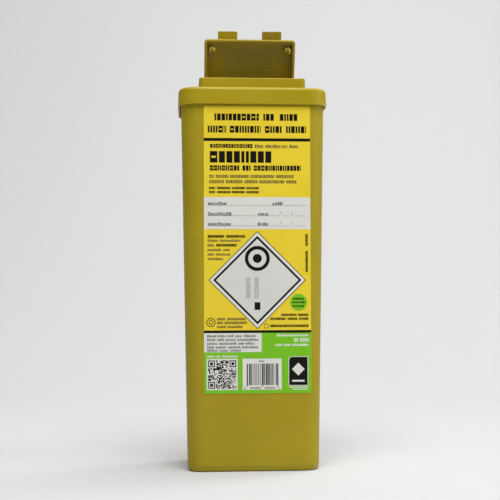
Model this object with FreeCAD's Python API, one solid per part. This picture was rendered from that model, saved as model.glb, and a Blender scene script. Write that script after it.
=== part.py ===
"""A small sharps container: a tapered tub, a clip-on lid with a collar, a hinged door and a front label.

The frame has +Z up, and its origin is the middle of the footprint, on the surface that the tub stands on.
The front, which carries the label, faces -Y. All sizes are in millimetres and all angles in degrees.
The door is modelled shut, down in the collar, and is then turned about its hinge to its rest position, ajar.
"""

import FreeCAD
import Part
import math
import os

from FreeCAD import Vector

PARTS_FOLDER = "parts"

# Tub: a deep moulding, wider at its mouth than at its foot.
TUB_BASE_WIDTH = 64.5
TUB_BASE_DEPTH = 40.6
TUB_HEIGHT = 185.55
TUB_SIDE_DRAFT = 1.01
TUB_FRONT_DRAFT = 0.48
TUB_CORNER = 7.5
TUB_WALL = 1.3
TUB_FLOOR = 1.4
TUB_INNER_ROUND = 1.5
PLINTH_HEIGHT = 2.6
PLINTH_STEP = 0.25
PLINTH_ROUND = 1.6
FOOT_RING_WIDTH = 3.2
FOOT_RECESS = 0.8
MOUTH_ROUND = 0.4

# Snap: a groove round the tub's mouth, and ribs inside the lid's skirt that sit in it.
GROOVE_DEPTH = 0.4
GROOVE_HEIGHT = 1.8
GROOVE_BELOW_MOUTH = 3.0
SNAP_RIB_LENGTH = 12.0
SNAP_RIB_SPACING = 40.5
SNAP_RIB_CLEARANCE = 0.12
SNAP_RIB_END_GAP = 0.2

# Lid: a deck that sits on the tub's mouth, a skirt outside it and a spigot inside it.
DECK_THICKNESS = 1.4
SEAT_CLEARANCE = 0.05
SKIRT_HEIGHT = 8.6
SKIRT_WALL = 1.0
SKIRT_GAP = 0.5
SKIRT_DRAFT = 2.0
LID_EDGE_ROUND = 1.8
SKIRT_LIP_ROUND = 0.3
SPIGOT_DEPTH = 4.5
SPIGOT_WALL = 1.0
SPIGOT_CLEARANCE = 0.15
PIP_RADIUS = 0.6
PIP_PROUD = 0.3
PIP_BELOW_DECK = 5.1

# Collar: the raised frame on the lid that the door shuts down into, with a shelf around the aperture.
COLLAR_WIDTH = 52.8
COLLAR_DEPTH = 31.3
COLLAR_HEIGHT = 6.0
COLLAR_WALL = 1.3
COLLAR_CORNER = 2.2
COLLAR_DRAFT = 1.0
COLLAR_EDGE_ROUND = 0.45
COLLAR_INNER_ROUND = 0.3
SHELF_BELOW_COLLAR = 3.4
SHELF_THICKNESS = 1.3
APERTURE_WIDTH = 32.0
APERTURE_DEPTH = 20.6
APERTURE_SHIFT_Y = -1.4
APERTURE_CORNER = 3.0
APERTURE_ROUND = 0.5
APERTURE_LIP_DEPTH = 3.0
APERTURE_LIP_WALL = 1.0

# Hinge: stub axles on the door's barrel turn in bores in the collar's two lugs.
HINGE_SETBACK = 2.2
HINGE_BELOW_COLLAR = 0.4
AXLE_RADIUS = 1.0
AXLE_CLEARANCE = 0.06
AXLE_END_INSET = 0.15
BARREL_END_GAP = 0.3
LUG_WALL = 0.95

# Door: a shallow tray, with its rim pointing down into the collar when it is shut.
DOOR_SIDE_GAP = 1.7
DOOR_FRONT_GAP = 0.5
DOOR_PLATE = 1.2
DOOR_LIFT = 0.2
DOOR_CORNER = 1.6
DOOR_EDGE_ROUND = 0.45
RIM_WALL = 1.4
RIM_LIP_ROUND = 0.4
RIM_INNER_CORNER = 1.0
RIM_ROOT_ROUND = 0.5
RIM_SHELF_GAP = 0.3
DOOR_REST_ANGLE = 70.0

# Finger tabs on the door's free edge. The left one is bent up, so that a fingertip gets under it.
TAB_WIDTH = 10.0
TAB_REACH = 4.1
TAB_THICKNESS = 1.0
TAB_INSET = 7.0
TAB_CORNER = 0.5
TAB_EDGE_ROUND = 0.2
LEFT_TAB_BEND = 14.0

# Latch pegs under the door, which drop through two holes in the shelf.
PEG_SHAFT_RADIUS = 1.2
PEG_HEAD_RADIUS = 1.7
PEG_TIP_RADIUS = 0.75
PEG_LENGTH = 7.0
PEG_HEAD_LENGTH = 1.9
PEG_HEAD_STEP = 0.3
PEG_SLOT_WIDTH = 0.7
PEG_SLOT_DEPTH = 3.6
PEG_TILT = 8.7
PEG_SIDE_INSET = 4.05
PEG_EDGE_INSET = 4.4
LATCH_HOLE_CLEARANCE = 0.35

# Raised marks on the door's inner face: a frame with rows of plain blocks, ribs across it and two gussets.
MARK_HEIGHT = 0.25
MARK_LINE = 0.35
MARK_BITE = 0.1
FRAME_WIDTH = 25.4
FRAME_FROM_EDGE = 9.5
FRAME_LENGTH = 10.8
MARK_ROWS = ((1.5, 1.0), (3.7, 1.7), (6.4, 1.7), (9.1, 1.7))
MARK_BLOCK_WIDTHS = (1.2, 0.8, 1.5, 1.0, 1.3, 0.7, 1.6, 1.1)
MARK_BLOCK_GAP = 0.55
MARK_BLOCK_STEP = 3
MARK_ROW_MARGIN = 1.0
CROSS_RIBS_FROM_EDGE = (5.2, 7.2)
CROSS_RIB_LENGTH = 32.0
GUSSET_LENGTH = 4.6

# Label: a printed sticker on the front wall, following the wall round where it reaches a corner.
LABEL_THICKNESS = 0.15
LABEL_GLUE = 0.02
LABEL_LEFT_MARGIN = 7.9
LABEL_RIGHT_MARGIN = 4.4
LABEL_BOTTOM = 37.6
LABEL_TOP_GAP = 0.8
LABEL_CORNER = 0.8

# Heights that several pieces share.
DECK_UNDERSIDE = TUB_HEIGHT + SEAT_CLEARANCE
DECK_TOP = DECK_UNDERSIDE + DECK_THICKNESS
SKIRT_BOTTOM = DECK_TOP - SKIRT_HEIGHT
COLLAR_TOP = DECK_TOP + COLLAR_HEIGHT
SHELF_TOP = COLLAR_TOP - SHELF_BELOW_COLLAR
SHELF_UNDERSIDE = SHELF_TOP - SHELF_THICKNESS
GROOVE_TOP = TUB_HEIGHT - GROOVE_BELOW_MOUTH
GROOVE_BOTTOM = GROOVE_TOP - GROOVE_HEIGHT

# The collar's inside, which places the hinge and the door.
COLLAR_INNER_WIDTH = COLLAR_WIDTH - 2 * COLLAR_WALL
COLLAR_INNER_DEPTH = COLLAR_DEPTH - 2 * COLLAR_WALL
HINGE_Y = COLLAR_INNER_DEPTH / 2 - HINGE_SETBACK
HINGE_Z = COLLAR_TOP - HINGE_BELOW_COLLAR
BORE_RADIUS = AXLE_RADIUS + AXLE_CLEARANCE

# The shut door.
DOOR_HALF_WIDTH = COLLAR_INNER_WIDTH / 2 - DOOR_SIDE_GAP
DOOR_FREE_EDGE = -COLLAR_INNER_DEPTH / 2 + DOOR_FRONT_GAP
PLATE_UNDERSIDE = COLLAR_TOP + DOOR_LIFT
PLATE_TOP = PLATE_UNDERSIDE + DOOR_PLATE
RIM_BOTTOM = SHELF_TOP + RIM_SHELF_GAP
BARREL_RADIUS = PLATE_TOP - HINGE_Z
PEG_X = DOOR_HALF_WIDTH - PEG_SIDE_INSET
PEG_Y = DOOR_FREE_EDGE + PEG_EDGE_INSET

# How far a tool solid runs past the face that it cuts through.
OVERCUT = 1.0


def box(x0, x1, y0, y1, z0, z1):
    """A block between two corners."""
    return Part.makeBox(x1 - x0, y1 - y0, z1 - z0, Vector(x0, y0, z0))


def outline(width, depth, corner, z):
    """A closed rounded rectangle, centred on the Z axis, at height z."""
    x, y = width / 2, depth / 2
    edges = []
    # Each corner: the centre of its arc, and the direction at which the arc starts.
    corners = (
        (x - corner, y - corner, 0),
        (corner - x, y - corner, 90),
        (corner - x, corner - y, 180),
        (x - corner, corner - y, 270),
    )
    arcs = []
    for centre_x, centre_y, start in corners:
        points = []
        for turn in (start, start + 45, start + 90):
            reach_x = corner * math.cos(math.radians(turn))
            reach_y = corner * math.sin(math.radians(turn))
            points.append(Vector(centre_x + reach_x, centre_y + reach_y, z))
        arcs.append(points)
    for points, following in zip(arcs, arcs[1:] + arcs[:1]):
        edges.append(Part.Arc(*points).toShape())
        edges.append(Part.LineSegment(points[2], following[0]).toShape())
    return Part.Wire(edges)


def frustum(lower, upper):
    """A solid between two rounded rectangles, each given as (width, depth, corner, z)."""
    return Part.makeLoft([outline(*lower), outline(*upper)], True, True)


def prism(width, depth, corner, z0, z1):
    """An upright block with rounded corners, centred on the Z axis."""
    return frustum((width, depth, corner, z0), (width, depth, corner, z1))


def tub_section(z, offset=0.0):
    """The tub's outer outline at height z, grown outwards by offset."""
    width = TUB_BASE_WIDTH + 2 * z * math.tan(math.radians(TUB_SIDE_DRAFT)) + 2 * offset
    depth = TUB_BASE_DEPTH + 2 * z * math.tan(math.radians(TUB_FRONT_DRAFT)) + 2 * offset
    return width, depth, TUB_CORNER + offset, z


def tub_slice(z0, z1, offset=0.0):
    """The solid between two heights inside the tub's outer surface, grown outwards by offset."""
    return frustum(tub_section(z0, offset), tub_section(z1, offset))


def lid_section(z, offset=0.0):
    """The skirt's outer outline at height z, grown outwards by offset."""
    width, depth, corner, _ = tub_section(SKIRT_BOTTOM, SKIRT_GAP + SKIRT_WALL)
    narrowing = (z - SKIRT_BOTTOM) * math.tan(math.radians(SKIRT_DRAFT))
    growth = offset - narrowing
    return width + 2 * growth, depth + 2 * growth, corner + growth, z


def lid_slice(z0, z1, offset=0.0):
    """The solid between two heights inside the skirt's outer surface, grown outwards by offset."""
    return frustum(lid_section(z0, offset), lid_section(z1, offset))


def edges_at(shape, z, tolerance=1e-4):
    """The edges that lie wholly at height z."""
    found = []
    for edge in shape.Edges:
        span = edge.BoundBox
        if abs(span.ZMin - z) < tolerance and abs(span.ZMax - z) < tolerance:
            found.append(edge)
    return found


def is_within(edge, width, depth):
    """True where the edge lies inside a width by depth rectangle round the Z axis, or on its outline."""
    span = edge.BoundBox
    reach_x = max(-span.XMin, span.XMax)
    reach_y = max(-span.YMin, span.YMax)
    return reach_x < width / 2 + MARK_BITE and reach_y < depth / 2 + MARK_BITE


def build_tub():
    """The container itself: walls, floor, a stepped plinth, a foot ring and the lid's snap groove."""
    plinth = tub_slice(0, PLINTH_HEIGHT, -PLINTH_STEP)
    plinth = plinth.makeFillet(PLINTH_ROUND, edges_at(plinth, 0))
    body = tub_slice(PLINTH_HEIGHT, TUB_HEIGHT)
    body = body.makeFillet(MOUTH_ROUND, edges_at(body, TUB_HEIGHT))
    floor_top = FOOT_RECESS + TUB_FLOOR
    chamber = tub_slice(floor_top, TUB_HEIGHT + OVERCUT, -TUB_WALL)
    chamber = chamber.makeFillet(TUB_INNER_ROUND, edges_at(chamber, floor_top))
    width, depth, corner, _ = tub_section(0, -PLINTH_STEP - FOOT_RING_WIDTH)
    recess = prism(width, depth, corner, -OVERCUT, FOOT_RECESS)
    groove = tub_slice(GROOVE_BOTTOM, GROOVE_TOP, OVERCUT)
    groove = groove.cut(tub_slice(GROOVE_BOTTOM, GROOVE_TOP, -GROOVE_DEPTH))
    return plinth.fuse(body).cut(chamber).cut(recess).cut(groove)


def snap_ribs():
    """The ribs inside the skirt: two along the front, two along the back and one at each side."""
    low = GROOVE_BOTTOM + SNAP_RIB_END_GAP
    high = GROOVE_TOP - SNAP_RIB_END_GAP
    ring = lid_slice(low, high, -SKIRT_WALL / 2)
    ring = ring.cut(tub_slice(low, high, SNAP_RIB_CLEARANCE - GROOVE_DEPTH))
    half = SNAP_RIB_LENGTH / 2
    reach_x, reach_y = TUB_BASE_WIDTH, TUB_BASE_DEPTH
    blocks = [box(-reach_x, reach_x, -half, half, low, high)]
    for x in (-SNAP_RIB_SPACING / 2, SNAP_RIB_SPACING / 2):
        blocks.append(box(x - half, x + half, -reach_y, reach_y, low, high))
    return ring.common(Part.makeCompound(blocks))


def skirt_pips():
    """Small round pips on the outside of the skirt, opposite the front and back snap ribs."""
    z = DECK_TOP - PIP_BELOW_DECK
    wall = lid_section(z)[1] / 2
    pips = []
    for x in (-SNAP_RIB_SPACING / 2, SNAP_RIB_SPACING / 2):
        for side in (-1, 1):
            centre = Vector(x, side * (wall + PIP_PROUD - PIP_RADIUS), z)
            pips.append(Part.makeSphere(PIP_RADIUS, centre))
    return pips


def collar_well(z0, z1):
    """The space inside the collar's walls between two heights."""
    return prism(COLLAR_INNER_WIDTH, COLLAR_INNER_DEPTH, COLLAR_CORNER - COLLAR_WALL, z0, z1)


def collar_shell():
    """The collar down to the deck, hollow above its shelf, with its top edges rounded."""
    flare = 2 * (COLLAR_TOP - DECK_UNDERSIDE) * math.tan(math.radians(COLLAR_DRAFT))
    foot = (COLLAR_WIDTH + flare, COLLAR_DEPTH + flare, COLLAR_CORNER, DECK_UNDERSIDE)
    head = (COLLAR_WIDTH, COLLAR_DEPTH, COLLAR_CORNER, COLLAR_TOP)
    shell = frustum(foot, head)
    shell = shell.makeFillet(COLLAR_EDGE_ROUND, edges_at(shell, COLLAR_TOP))
    shell = shell.cut(collar_well(SHELF_TOP, COLLAR_TOP + OVERCUT))
    top_edges = edges_at(shell, COLLAR_TOP)
    inner_edges = [e for e in top_edges if is_within(e, COLLAR_INNER_WIDTH, COLLAR_INNER_DEPTH)]
    return shell.makeFillet(COLLAR_INNER_ROUND, inner_edges)


def hinge_lugs():
    """Round-topped lugs that carry the hinge bores on the collar's two side walls."""
    radius = BORE_RADIUS + LUG_WALL
    inner, outer = COLLAR_INNER_WIDTH / 2, COLLAR_WIDTH / 2
    lugs = []
    for x in (-outer, inner):
        axis_end = Vector(x, HINGE_Y, HINGE_Z)
        head = Part.makeCylinder(radius, COLLAR_WALL, axis_end, Vector(1, 0, 0))
        root = box(x, x + COLLAR_WALL, HINGE_Y - radius, HINGE_Y + radius, SHELF_TOP, HINGE_Z)
        lugs.append(head.fuse(root))
    footprint = prism(COLLAR_WIDTH, COLLAR_DEPTH, COLLAR_CORNER, SHELF_TOP, HINGE_Z + radius)
    return Part.makeCompound(lugs).common(footprint)


def aperture(grow, z0, z1):
    """The aperture's own shape between two heights, grown outwards by grow."""
    width, depth = APERTURE_WIDTH + 2 * grow, APERTURE_DEPTH + 2 * grow
    shape = prism(width, depth, APERTURE_CORNER + grow, z0, z1)
    shape.translate(Vector(0, APERTURE_SHIFT_Y, 0))
    return shape


def latch_hole(side):
    """The hole in the shelf that a latch peg's head swings through as the door shuts."""
    # The peg's axis at the shelf, shut, and its tip as it passes the shelf on its arc about the hinge.
    drop = PLATE_UNDERSIDE - (SHELF_TOP + SHELF_UNDERSIDE) / 2
    shut_y = PEG_Y + drop * math.tan(math.radians(PEG_TILT))
    tip_y = PEG_Y + PEG_LENGTH * math.tan(math.radians(PEG_TILT))
    tip_z = PLATE_UNDERSIDE - PEG_LENGTH
    tip_reach = math.hypot(HINGE_Y - tip_y, HINGE_Z - tip_z)
    shelf_drop = HINGE_Z - (SHELF_TOP + SHELF_UNDERSIDE) / 2
    passing_y = HINGE_Y - math.sqrt(tip_reach**2 - shelf_drop**2)
    room = PEG_HEAD_RADIUS + LATCH_HOLE_CLEARANCE
    x0, x1 = side * PEG_X - room, side * PEG_X + room
    y0, y1 = min(shut_y, passing_y) - room, max(shut_y, passing_y) + room
    return box(x0, x1, y0, y1, SHELF_UNDERSIDE - OVERCUT, SHELF_TOP + OVERCUT)


def build_lid():
    """The lid: deck, skirt, snap ribs, spigot, collar with its shelf and aperture, and the hinge lugs."""
    lid = lid_slice(SKIRT_BOTTOM, DECK_TOP)
    lid = lid.makeFillet(LID_EDGE_ROUND, edges_at(lid, DECK_TOP))
    lid = lid.cut(lid_slice(SKIRT_BOTTOM - OVERCUT, DECK_UNDERSIDE, -SKIRT_WALL))
    lid = lid.makeFillet(SKIRT_LIP_ROUND, edges_at(lid, SKIRT_BOTTOM))
    lid = lid.fuse([snap_ribs(), *skirt_pips()])

    spigot_foot = TUB_HEIGHT - SPIGOT_DEPTH
    spigot = tub_slice(spigot_foot, DECK_UNDERSIDE + MARK_BITE, -TUB_WALL - SPIGOT_CLEARANCE)
    inside = -TUB_WALL - SPIGOT_CLEARANCE - SPIGOT_WALL
    spigot = spigot.cut(tub_slice(spigot_foot - OVERCUT, DECK_TOP, inside))
    lid = lid.fuse([spigot, collar_shell(), hinge_lugs()])

    lip = aperture(APERTURE_LIP_WALL, SHELF_UNDERSIDE - APERTURE_LIP_DEPTH, SHELF_TOP)
    lid = lid.cut(collar_well(DECK_UNDERSIDE - OVERCUT, SHELF_UNDERSIDE)).fuse(lip)

    way_through = aperture(0, DECK_UNDERSIDE - SPIGOT_DEPTH, COLLAR_TOP)
    bore_start = Vector(-COLLAR_WIDTH, HINGE_Y, HINGE_Z)
    bores = Part.makeCylinder(BORE_RADIUS, 2 * COLLAR_WIDTH, bore_start, Vector(1, 0, 0))
    lid = lid.cut([way_through, bores])
    mouth_depth = APERTURE_DEPTH + 2 * abs(APERTURE_SHIFT_Y)
    mouth = [e for e in edges_at(lid, SHELF_TOP) if is_within(e, APERTURE_WIDTH, mouth_depth)]
    lid = lid.makeFillet(APERTURE_ROUND, mouth)
    return lid.cut([latch_hole(-1), latch_hole(1)])


def door_tray():
    """The door's plate with its rim on three sides, open at the back where the barrel closes it."""
    corner = DOOR_CORNER
    y0, y1 = DOOR_FREE_EDGE, HINGE_Y
    tray = box(-DOOR_HALF_WIDTH, DOOR_HALF_WIDTH, y0, y1, RIM_BOTTOM, PLATE_TOP)
    front_corners = [
        edge
        for edge in tray.Edges
        if edge.BoundBox.YMax < y0 + OVERCUT and edge.BoundBox.ZLength > DOOR_PLATE
    ]
    tray = tray.makeFillet(corner, front_corners)
    outer_edges = [e for e in edges_at(tray, PLATE_TOP) if e.BoundBox.YMin < y1 - OVERCUT]
    tray = tray.makeFillet(DOOR_EDGE_ROUND, outer_edges)
    inner_x = DOOR_HALF_WIDTH - RIM_WALL
    hollow = box(-inner_x, inner_x, y0 + RIM_WALL, y1, RIM_BOTTOM - OVERCUT, PLATE_UNDERSIDE)
    inner_corners = [
        edge
        for edge in hollow.Edges
        if edge.BoundBox.YMax < y0 + RIM_WALL + MARK_BITE and edge.BoundBox.ZLength > DOOR_PLATE
    ]
    hollow = hollow.makeFillet(RIM_INNER_CORNER, inner_corners)
    roots = [e for e in edges_at(hollow, PLATE_UNDERSIDE) if e.BoundBox.YMin < y1 - OVERCUT]
    tray = tray.cut(hollow.makeFillet(RIM_ROOT_ROUND, roots))
    lips = [e for e in edges_at(tray, RIM_BOTTOM) if e.BoundBox.YMin < y1 - OVERCUT]
    return tray.makeFillet(RIM_LIP_ROUND, lips)


def door_barrel():
    """The hinge barrel along the door's back edge, with a stub axle at each end."""
    along = Vector(1, 0, 0)
    half = COLLAR_INNER_WIDTH / 2 - BARREL_END_GAP
    barrel = Part.makeCylinder(BARREL_RADIUS, 2 * half, Vector(-half, HINGE_Y, HINGE_Z), along)
    reach = COLLAR_WIDTH / 2 - AXLE_END_INSET
    axle = Part.makeCylinder(AXLE_RADIUS, 2 * reach, Vector(-reach, HINGE_Y, HINGE_Z), along)
    return barrel.fuse(axle)


def finger_tab(side, bend):
    """A tab past the free edge, level with the door's outer face, bent outwards by bend degrees."""
    x0 = DOOR_HALF_WIDTH - TAB_INSET - TAB_WIDTH
    z0 = PLATE_TOP - TAB_THICKNESS
    root = DOOR_FREE_EDGE + RIM_WALL
    tab = box(x0, x0 + TAB_WIDTH, DOOR_FREE_EDGE - TAB_REACH, root, z0, PLATE_TOP)
    end_corners = [
        edge
        for edge in tab.Edges
        if edge.BoundBox.YMax < DOOR_FREE_EDGE - TAB_REACH + MARK_BITE and edge.BoundBox.XLength < MARK_BITE
    ]
    tab = tab.makeFillet(TAB_CORNER, end_corners)
    level_edges = edges_at(tab, z0) + edges_at(tab, PLATE_TOP)
    flat_edges = [e for e in level_edges if e.BoundBox.YMin < root - MARK_BITE]
    tab = tab.makeFillet(TAB_EDGE_ROUND, flat_edges)
    if side < 0:
        tab.translate(Vector(-2 * x0 - TAB_WIDTH, 0, 0))
    if bend:
        tab.rotate(Vector(0, DOOR_FREE_EDGE, z0), Vector(-1, 0, 0), bend)
        tab = tab.cut(box(-DOOR_HALF_WIDTH, DOOR_HALF_WIDTH, DOOR_FREE_EDGE + RIM_WALL / 2, root + OVERCUT,
                          RIM_BOTTOM, PLATE_TOP + TAB_REACH))
    return tab


def latch_peg(side):
    """A split peg with an arrow head, leaning towards the hinge so that it follows the door's swing."""
    neck = PEG_LENGTH - PEG_HEAD_LENGTH
    profile = (
        (0, OVERCUT),
        (PEG_SHAFT_RADIUS, OVERCUT),
        (PEG_SHAFT_RADIUS, -neck),
        (PEG_HEAD_RADIUS, -neck - PEG_HEAD_STEP),
        (PEG_TIP_RADIUS, -PEG_LENGTH),
        (0, -PEG_LENGTH),
    )
    points = [Vector(r, 0, z) for r, z in profile]
    face = Part.Face(Part.makePolygon(points + points[:1]))
    peg = face.revolve(Vector(0, 0, 0), Vector(0, 0, 1), 360)
    half, wide = PEG_SLOT_WIDTH / 2, PEG_HEAD_RADIUS + OVERCUT
    peg = peg.cut(box(-half, half, -wide, wide, -PEG_LENGTH - OVERCUT, PEG_SLOT_DEPTH - PEG_LENGTH))
    peg.rotate(Vector(0, 0, 0), Vector(1, 0, 0), PEG_TILT)
    peg.translate(Vector(side * PEG_X, PEG_Y, PLATE_UNDERSIDE))
    # The tilted root is trimmed inside the plate, so that nothing stands proud of the door's outer face.
    half_width = PEG_HEAD_RADIUS + PEG_LENGTH
    below_plate_top = box(
        side * PEG_X - half_width, side * PEG_X + half_width, PEG_Y - half_width, PEG_Y + half_width,
        PLATE_UNDERSIDE - PEG_LENGTH - OVERCUT, PLATE_TOP - DOOR_EDGE_ROUND)
    return peg.common(below_plate_top)


def mark(x0, x1, from_edge, length):
    """A raised strip on the door's inner face, placed by its distance from the free edge."""
    y0 = DOOR_FREE_EDGE + from_edge
    return box(x0, x1, y0, y0 + length, PLATE_UNDERSIDE - MARK_HEIGHT, PLATE_UNDERSIDE + MARK_BITE)


def door_marks():
    """The raised frame, its rows of plain blocks, the cross ribs and the two gussets."""
    half = FRAME_WIDTH / 2
    far = FRAME_FROM_EDGE + FRAME_LENGTH
    marks = [
        mark(-half, half, FRAME_FROM_EDGE, MARK_LINE),
        mark(-half, half, far, MARK_LINE),
        mark(-half, -half + MARK_LINE, FRAME_FROM_EDGE, FRAME_LENGTH),
        mark(half - MARK_LINE, half, FRAME_FROM_EDGE, FRAME_LENGTH),
    ]
    for row, (middle, height) in enumerate(MARK_ROWS):
        x = -half + MARK_ROW_MARGIN
        number = row
        while True:
            width = MARK_BLOCK_WIDTHS[number % len(MARK_BLOCK_WIDTHS)]
            if x + width > half - MARK_ROW_MARGIN:
                break
            marks.append(mark(x, x + width, FRAME_FROM_EDGE + middle - height / 2, height))
            x += width + MARK_BLOCK_GAP
            number += MARK_BLOCK_STEP
    for from_edge in CROSS_RIBS_FROM_EDGE:
        marks.append(mark(-CROSS_RIB_LENGTH / 2, CROSS_RIB_LENGTH / 2, from_edge, MARK_LINE))
    wall = DOOR_HALF_WIDTH - RIM_WALL
    marks.append(mark(-wall, -wall + GUSSET_LENGTH, FRAME_FROM_EDGE, MARK_LINE))
    marks.append(mark(wall - GUSSET_LENGTH, wall, FRAME_FROM_EDGE, MARK_LINE))
    return marks


def build_door():
    """The door, turned from shut to its rest angle about the hinge axis."""
    door = door_tray().fuse([door_barrel(), finger_tab(-1, LEFT_TAB_BEND), finger_tab(1, 0)])
    door = door.fuse([latch_peg(-1), latch_peg(1), *door_marks()])
    door.rotate(Vector(0, HINGE_Y, HINGE_Z), Vector(-1, 0, 0), DOOR_REST_ANGLE)
    return door


def build_front_label():
    """The sticker: a thin sheet that follows the tub's front wall."""
    top = SKIRT_BOTTOM - LABEL_TOP_GAP
    left = -TUB_BASE_WIDTH / 2 + LABEL_LEFT_MARGIN
    right = TUB_BASE_WIDTH / 2 - LABEL_RIGHT_MARGIN
    z0, z1 = LABEL_BOTTOM - OVERCUT, top + OVERCUT
    sheet = tub_slice(z0, z1, LABEL_GLUE + LABEL_THICKNESS).cut(tub_slice(z0, z1, LABEL_GLUE))
    cutter = prism(right - left, top - LABEL_BOTTOM, LABEL_CORNER, 0, TUB_BASE_DEPTH)
    cutter.rotate(Vector(0, 0, 0), Vector(1, 0, 0), 90)
    cutter.translate(Vector((left + right) / 2, 0, (top + LABEL_BOTTOM) / 2))
    return sheet.common(cutter)


def single_solid(shape, name):
    """The shape's one solid, with seams between faces of one surface removed."""
    tidy = shape.removeSplitter()
    if len(tidy.Solids) != 1:
        raise ValueError(f"{name} came out as {len(tidy.Solids)} solids")
    solid = tidy.Solids[0]
    if not solid.isValid():
        raise ValueError(f"{name} is not a valid solid")
    return solid


def main():
    """Builds every node and writes it to its own STEP file."""
    os.makedirs(PARTS_FOLDER, exist_ok=True)
    nodes = {
        "tub": build_tub(),
        "lid": build_lid(),
        "door": build_door(),
        "front_label": build_front_label(),
    }
    for name, shape in nodes.items():
        solid = single_solid(shape, name)
        solid.exportStep(os.path.join(PARTS_FOLDER, f"{name}.step"))
        print(f"{name}: {solid.Volume:.1f} mm3, {len(solid.Faces)} faces")
    print(f"hinge axis: y {HINGE_Y:.3f}, z {HINGE_Z:.3f};", end=" ")
    print(f"skirt bottom {SKIRT_BOTTOM:.3f}, deck top {DECK_TOP:.3f}")


main()
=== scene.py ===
"""Looks of a small sharps container: moulded plastic, the printed front label, and a plain studio.

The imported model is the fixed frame. Its tub, lid, door and label film keep their shapes and get their finishes
here, and the print on the label is modelled as thin pieces that follow the film. Lengths are in metres, but
places and sizes on the label are in millimetres.
"""

import logging
import math
import random
from contextlib import contextmanager
from dataclasses import dataclass, field, replace
from enum import Enum
from typing import Callable, Iterable, Iterator, Sequence

import bpy
from mathutils import Matrix, Vector

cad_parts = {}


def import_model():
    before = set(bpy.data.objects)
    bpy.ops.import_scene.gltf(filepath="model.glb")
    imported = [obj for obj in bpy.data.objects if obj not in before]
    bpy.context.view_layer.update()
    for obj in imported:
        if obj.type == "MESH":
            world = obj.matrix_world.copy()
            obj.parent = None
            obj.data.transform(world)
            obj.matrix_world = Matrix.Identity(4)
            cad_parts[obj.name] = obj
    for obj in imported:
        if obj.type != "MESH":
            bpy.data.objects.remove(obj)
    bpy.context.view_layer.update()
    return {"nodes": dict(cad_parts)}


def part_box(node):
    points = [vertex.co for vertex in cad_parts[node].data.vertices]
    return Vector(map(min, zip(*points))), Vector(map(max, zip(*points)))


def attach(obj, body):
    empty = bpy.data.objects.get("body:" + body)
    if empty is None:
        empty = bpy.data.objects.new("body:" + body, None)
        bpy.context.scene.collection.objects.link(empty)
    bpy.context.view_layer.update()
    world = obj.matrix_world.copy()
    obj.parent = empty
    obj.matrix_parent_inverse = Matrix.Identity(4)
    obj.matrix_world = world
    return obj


LOG = logging.getLogger("sharps_container")

MM = 0.001
ROUND_SIDES = 48
DIAMOND_SIDES = 4
FLAT_ANGLE = 0.01
WHITE = (1.0, 1.0, 1.0)

Colour = tuple[float, float, float]
Inputs = dict[str | int, object]


class Body(Enum):
    """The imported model's body that the print rides on."""

    CONTAINER = "container"


class Slot(Enum):
    """A material slot's name for the print, which nothing in the script uses."""

    LABEL = "label_print"


class Case(Enum):
    """How tall the blocks of a row of dummy text are."""

    CAPITALS = "capitals"
    MIXED = "mixed"


class Block(Enum):
    """The blocks that dummy text is made of, with their widths in columns."""

    BAR = ("bar", 2)
    PAIR = ("pair", 5)
    PLAIN = ("plain", 4)
    SLIT = ("slit", 5)

    @property
    def columns(self) -> int:
        """The block's width in columns."""
        return self.value[1]


class Element(Enum):
    """A mesh's elements: the mode that selects them and the mesh's list of them."""

    VERTEX = ("VERT", "vertices")
    EDGE = ("EDGE", "edges")
    FACE = ("FACE", "polygons")


# Small helpers round the operators


def deselect_all() -> None:
    """Leaves object mode with nothing selected."""
    if bpy.context.object and bpy.context.object.mode != "OBJECT":
        bpy.ops.object.mode_set(mode="OBJECT")
    bpy.ops.object.select_all(action="DESELECT")


def activate(piece: bpy.types.Object) -> None:
    """Selects one piece and makes it the active one.

    Args:
        piece: The object to work on.
    """
    deselect_all()
    piece.select_set(True)
    bpy.context.view_layer.objects.active = piece


@contextmanager
def editing(
    piece: bpy.types.Object,
    element: Element = Element.FACE,
    chosen: Callable[[bpy.types.bpy_struct], bool] | None = None,
) -> Iterator[None]:
    """Opens a piece in edit mode with elements selected, and closes it again.

    Args:
        piece: The mesh object.
        element: The kind of element that is selected.
        chosen: Says whether one element is selected. Without it, all of them are.

    Returns:
        The context in which the piece is open.
    """
    mode, listed = element.value
    activate(piece)
    bpy.ops.object.mode_set(mode="EDIT")
    bpy.ops.mesh.select_mode(type=mode)
    bpy.ops.mesh.select_all(action="DESELECT" if chosen else "SELECT")
    if chosen:
        bpy.ops.object.mode_set(mode="OBJECT")
        for one in getattr(piece.data, listed):
            one.select = chosen(one)
        bpy.ops.object.mode_set(mode="EDIT")
    yield
    bpy.ops.object.mode_set(mode="OBJECT")


def settle(piece: bpy.types.Object) -> None:
    """Puts a piece's place into its mesh, so that its object stands at the origin."""
    activate(piece)
    bpy.ops.object.transform_apply(location=True, rotation=True, scale=True)


def merge_flat_faces(piece: bpy.types.Object) -> None:
    """Merges a piece's faces that lie in one plane."""
    with editing(piece):
        bpy.ops.mesh.dissolve_limited(angle_limit=FLAT_ANGLE)


def join(pieces: Sequence[bpy.types.Object], name: str) -> bpy.types.Object:
    """Joins several meshes into one.

    Args:
        pieces: The mesh objects, of which the first stays.
        name: The joined object's name.

    Returns:
        The joined object.
    """
    activate(pieces[0])
    for piece in pieces[1:]:
        piece.select_set(True)
    if len(pieces) > 1:
        bpy.ops.object.join()
    joined = bpy.context.object
    joined.name = name
    joined.data.name = name
    return joined


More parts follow.
